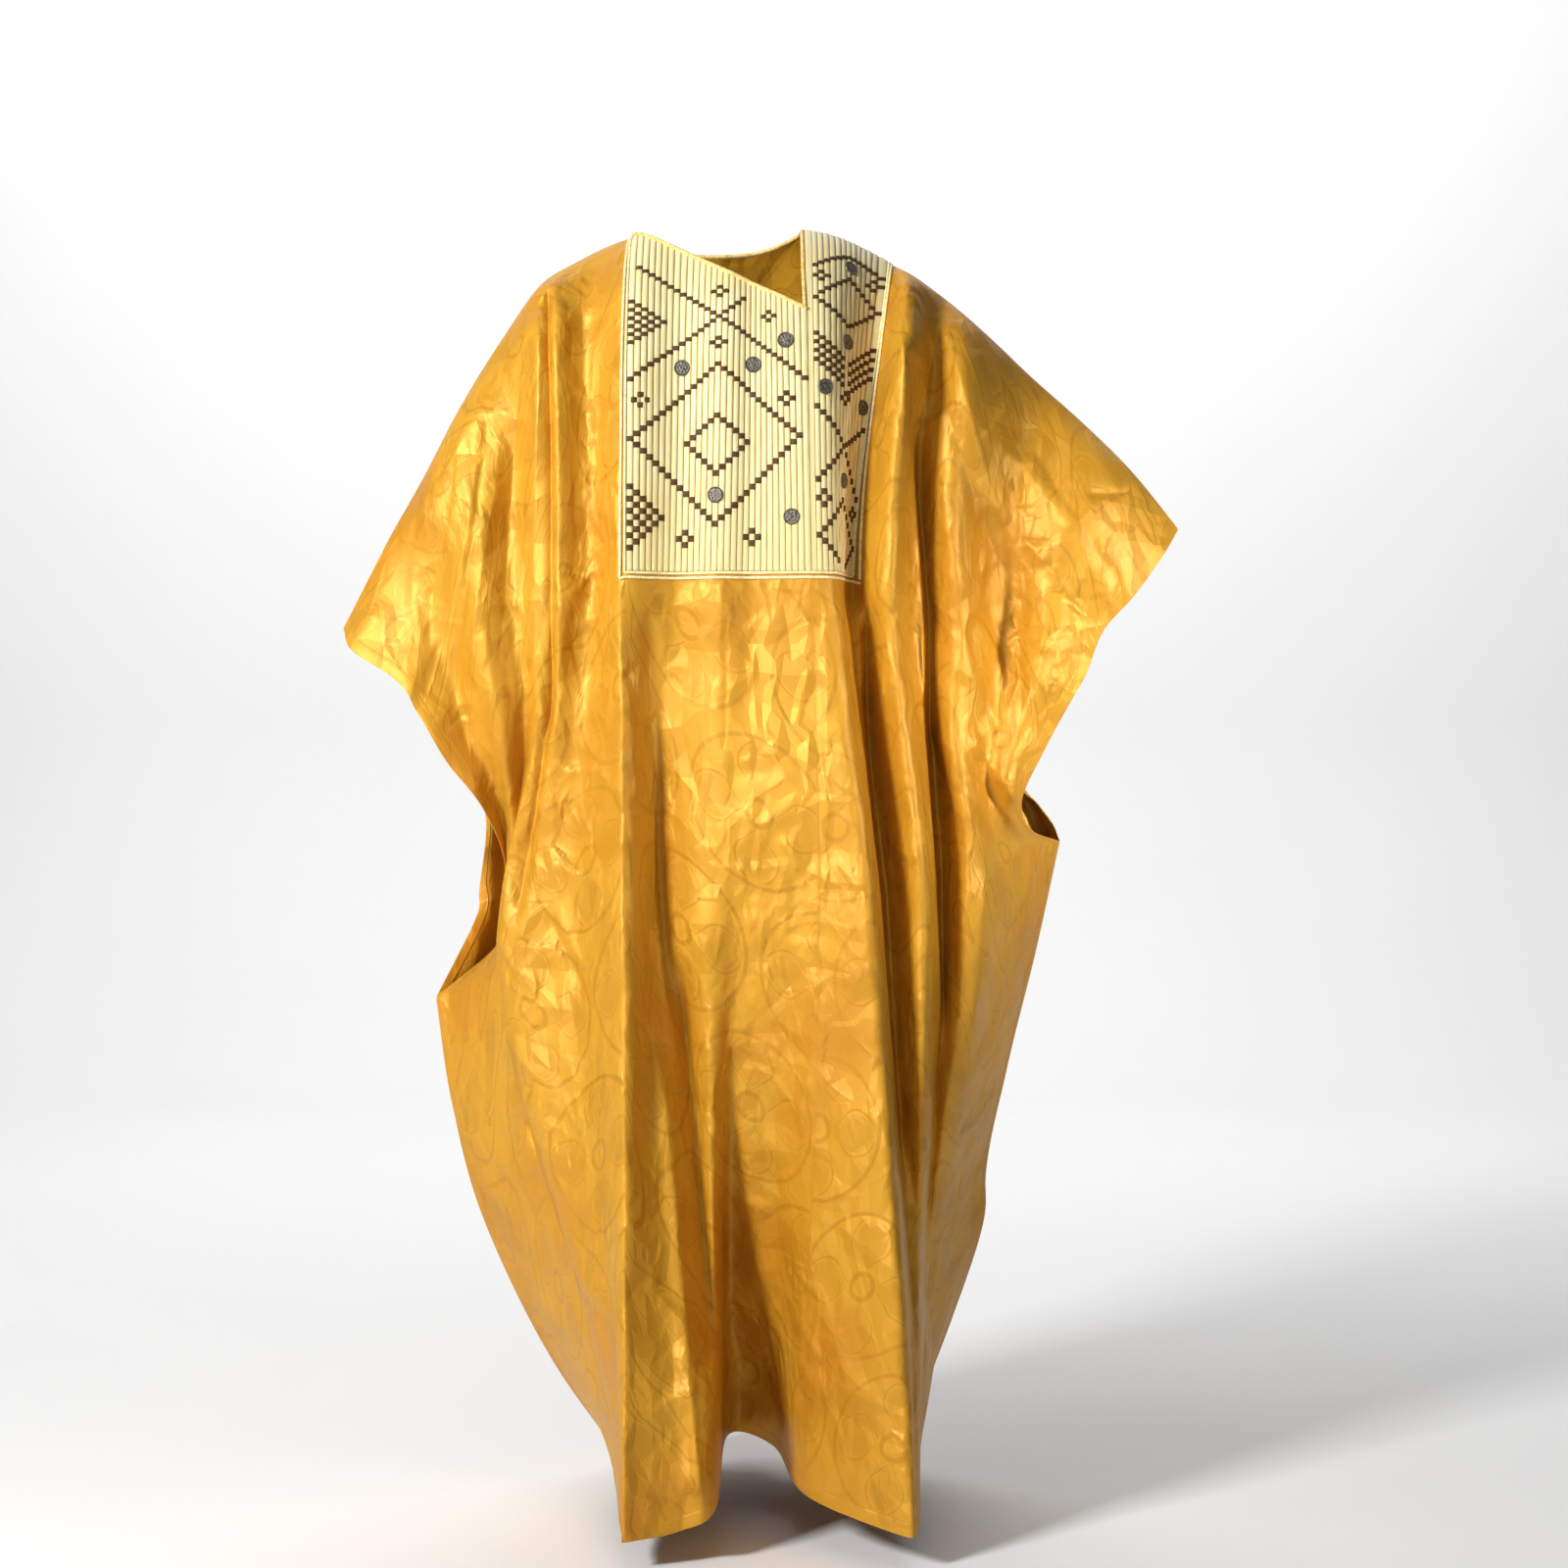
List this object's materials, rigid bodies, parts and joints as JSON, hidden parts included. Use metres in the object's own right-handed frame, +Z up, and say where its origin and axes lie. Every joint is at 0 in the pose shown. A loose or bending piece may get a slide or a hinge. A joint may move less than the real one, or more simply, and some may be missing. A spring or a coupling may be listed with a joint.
{
  "type": "grand boubou robe",
  "caption": "Full-length wide robe in glossy golden cloth, with open sleeves, joined lower sides and a ribbed, embroidered bib at a slanting open neck.",
  "frame": {"origin": "midway between the two shoulder tops beside the neck, at their height, where the wearer carries the robe", "axes": "+X to the right as seen from the front, +Y from the front to the back, +Z up; the robe hangs as it is worn"},
  "size_m": [0.9117, 0.5393, 1.3805],
  "materials": {
    "golden_damask": "glossy waxed damask",
    "cream_ribs": "satin-stitched ribs",
    "pale_cord": "twisted cord",
    "golden_piping": "twisted cord"
  },
  "bodies": {
    "root": {"front_panel": "golden_damask", "back_panel": "golden_damask", "bib": "cream_ribs", "bib_edge_left": "pale_cord", "bib_edge_bottom": "pale_cord", "bib_edge_right": "pale_cord", "neck_piping": "golden_piping"}
  },
  "joints": []
}
